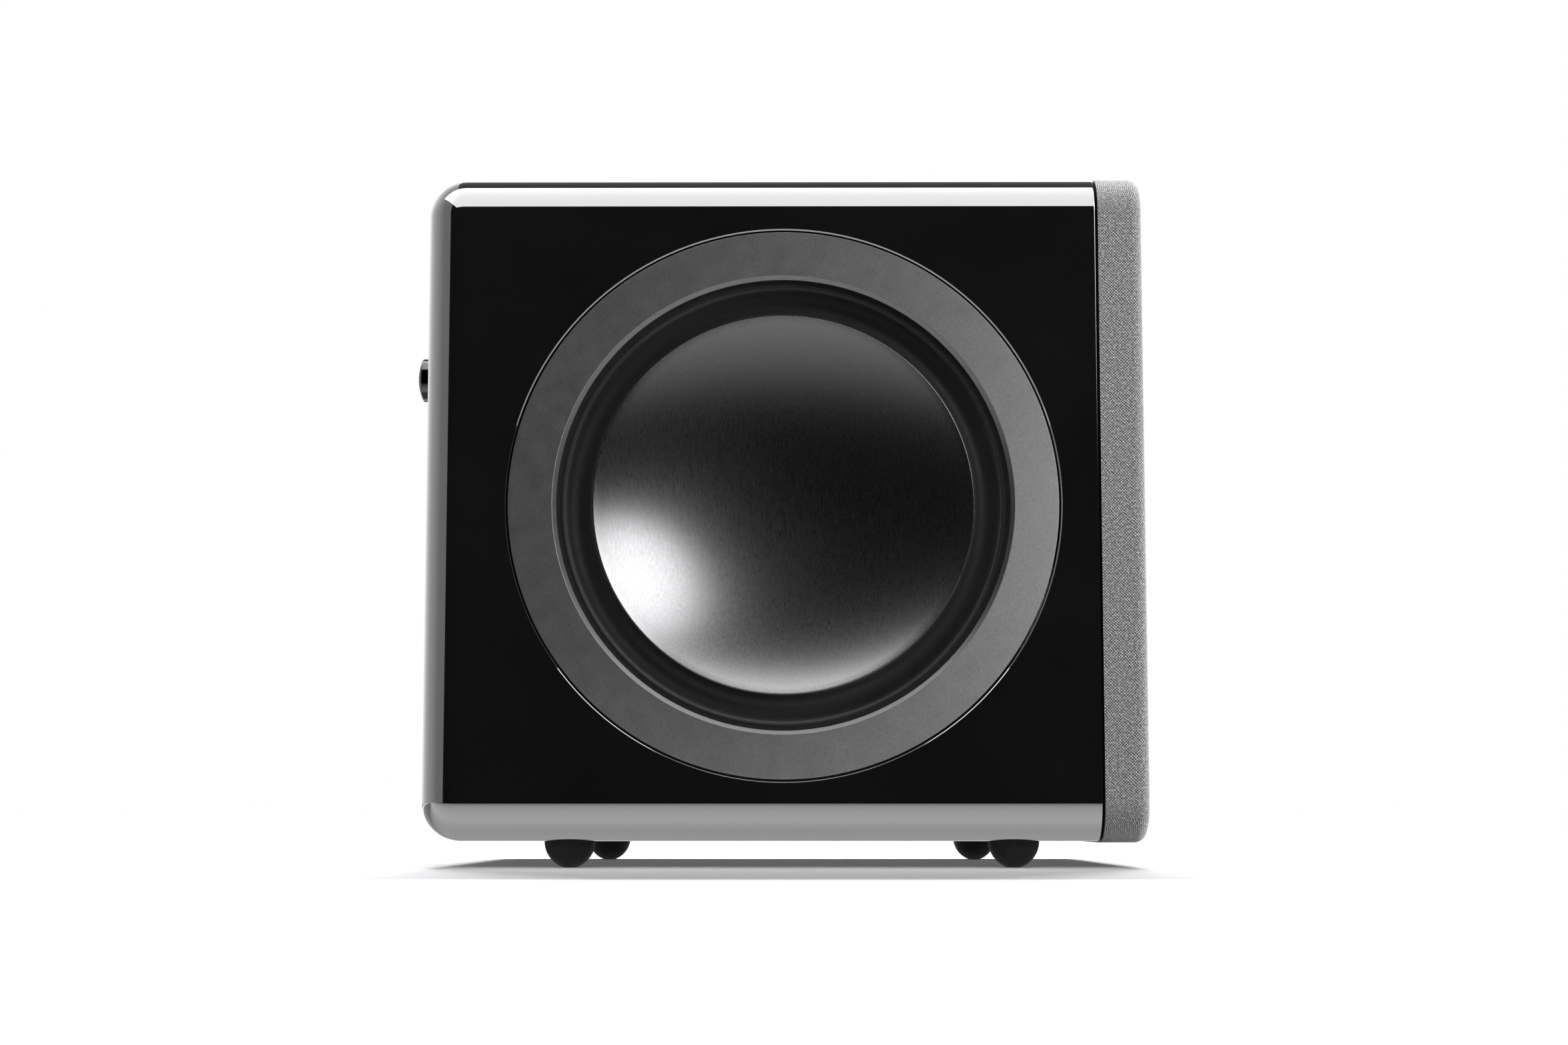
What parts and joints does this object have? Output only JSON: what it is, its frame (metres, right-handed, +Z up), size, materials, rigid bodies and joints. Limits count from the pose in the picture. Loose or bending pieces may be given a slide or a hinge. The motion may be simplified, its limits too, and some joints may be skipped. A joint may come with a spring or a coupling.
{
  "type": "compact powered subwoofer",
  "caption": "Near-cubic gloss-black powered subwoofer with a cloth front grille, a front woofer and a dished metal passive radiator on each side.",
  "frame": {"origin": "on the floor, under the middle of the whole box with its grille and knobs", "axes": "+X out of the front grille, +Y out of the left-hand side, +Z up"},
  "size_m": [0.263, 0.232, 0.2434],
  "materials": {
    "piano_black": "deep gloss polyester lacquer over fibreboard",
    "foot_rubber": "matte moulded rubber",
    "zinc_screw": "black-zinc steel",
    "grille_cloth": "woven polyester, mid grey",
    "black_plastic": "fine moulded texture",
    "driver_rubber": "satin butyl rubber",
    "satin_ring": "satin anodised dark grey",
    "spun_aluminium": "fine bead-blasted and spun",
    "cast_frame": "black powder coat",
    "amber_cloth": "resin-dipped cotton",
    "steel": "bright zinc-plated steel",
    "ferrite": "ground ferrite",
    "pulp_cone": "coated paper pulp",
    "former_aluminium": "mill finish",
    "copper": "enamelled copper wire",
    "panel_paint": "fine-textured black powder coat",
    "knob_chrome": "polished dark chrome",
    "shaft_metal": "nickel plated",
    "led_lens": "diffused lens",
    "circuit_green": "solder mask over glass laminate",
    "transformer_core": "varnished core and tape",
    "capacitor_sleeve": "plain shrink sleeve",
    "wire_jacket": "PVC insulation",
    "wadding": "polyester fibre"
  },
  "bodies": {
    "enclosure": {"acoustic_wadding": "wadding", "amp_gasket": "driver_rubber", "amp_panel": "panel_paint", "board_standoffs": "black_plastic", "cabinet": "piano_black", "circuit_board": "circuit_green", "control_pots": "shaft_metal", "driver_gaskets": "driver_rubber", "driver_screws": "zinc_screw", "foot_front_left": "foot_rubber", "foot_front_right": "foot_rubber", "foot_rear_left": "foot_rubber", "foot_rear_right": "foot_rubber", "foot_screws": "zinc_screw", "grille_sockets": "foot_rubber", "heatsink": "former_aluminium", "inlet_pins": "shaft_metal", "left_radiator_frame": "cast_frame", "left_radiator_spider": "amber_cloth", "left_radiator_surround": "driver_rubber", "left_radiator_trim_ring": "satin_ring", "magnet": "ferrite", "panel_screws": "zinc_screw", "pole_plate": "steel", "power_inlet": "black_plastic", "power_transformer": "transformer_core", "rca_block": "black_plastic", "rca_shells": "shaft_metal", "reservoir_capacitors": "capacitor_sleeve", "right_radiator_frame": "cast_frame", "right_radiator_spider": "amber_cloth", "right_radiator_surround": "driver_rubber", "right_radiator_trim_ring": "satin_ring", "rocker_housing": "black_plastic", "slide_switches": "black_plastic", "speaker_lead": "wire_jacket", "status_led": "led_lens", "top_plate": "steel", "woofer_basket": "cast_frame", "woofer_spider": "amber_cloth", "woofer_surround": "driver_rubber", "woofer_terminals": "black_plastic"},
    "grille": {"grille_frame": "black_plastic", "grille_fabric": "grille_cloth", "grille_pegs": "black_plastic"},
    "woofer_piston": {"woofer_cone": "pulp_cone", "woofer_dust_cap": "pulp_cone", "coil_former": "former_aluminium", "voice_coil": "copper"},
    "right_piston": {"right_radiator_cone": "spun_aluminium", "right_radiator_weight": "steel"},
    "left_piston": {"left_radiator_cone": "spun_aluminium", "left_radiator_weight": "steel"},
    "volume_control": {"volume_knob": "knob_chrome", "volume_shaft": "shaft_metal"},
    "crossover_control": {"crossover_knob": "knob_chrome", "crossover_shaft": "shaft_metal"},
    "phase_selector": {"phase_slider": "black_plastic"},
    "standby_selector": {"standby_slider": "black_plastic"},
    "rocker": {"power_rocker": "black_plastic"}
  },
  "joints": [
    {"name": "grille_pull", "type": "slide", "parent": "enclosure", "child": "grille", "axis": [1, 0, 0], "range_m": [0, 0.03]},
    {"name": "woofer_stroke", "type": "slide", "parent": "enclosure", "child": "woofer_piston", "axis": [1, 0, 0], "range_m": [-0.006, 0.006], "stiffness_N_per_m": 1600, "deforming": ["woofer_surround", "woofer_spider"]},
    {"name": "right_radiator_stroke", "type": "slide", "parent": "enclosure", "child": "right_piston", "axis": [0, -1, 0], "range_m": [-0.008, 0.008], "stiffness_N_per_m": 3200, "deforming": ["right_radiator_surround", "right_radiator_spider"]},
    {"name": "left_radiator_stroke", "type": "slide", "parent": "enclosure", "child": "left_piston", "axis": [0, 1, 0], "range_m": [-0.008, 0.008], "stiffness_N_per_m": 3200, "deforming": ["left_radiator_surround", "left_radiator_spider"]},
    {"name": "volume_turn", "type": "hinge", "parent": "enclosure", "child": "volume_control", "pos_m": [-0.1201, -0.052, 0.1811], "axis": [1, 0, 0], "range_deg": [-140, 140]},
    {"name": "crossover_turn", "type": "hinge", "parent": "enclosure", "child": "crossover_control", "pos_m": [-0.1201, -0.012, 0.1811], "axis": [1, 0, 0], "range_deg": [-140, 140]},
    {"name": "phase_slide", "type": "slide", "parent": "enclosure", "child": "phase_selector", "axis": [0, -1, 0], "range_m": [0, 0.004]},
    {"name": "standby_slide", "type": "slide", "parent": "enclosure", "child": "standby_selector", "axis": [0, -1, 0], "range_m": [0, 0.004]},
    {"name": "rocker_tilt", "type": "hinge", "parent": "enclosure", "child": "rocker", "pos_m": [-0.1189, -0.004, 0.0641], "axis": [0, 0, 1], "range_deg": [0, 16]}
  ]
}
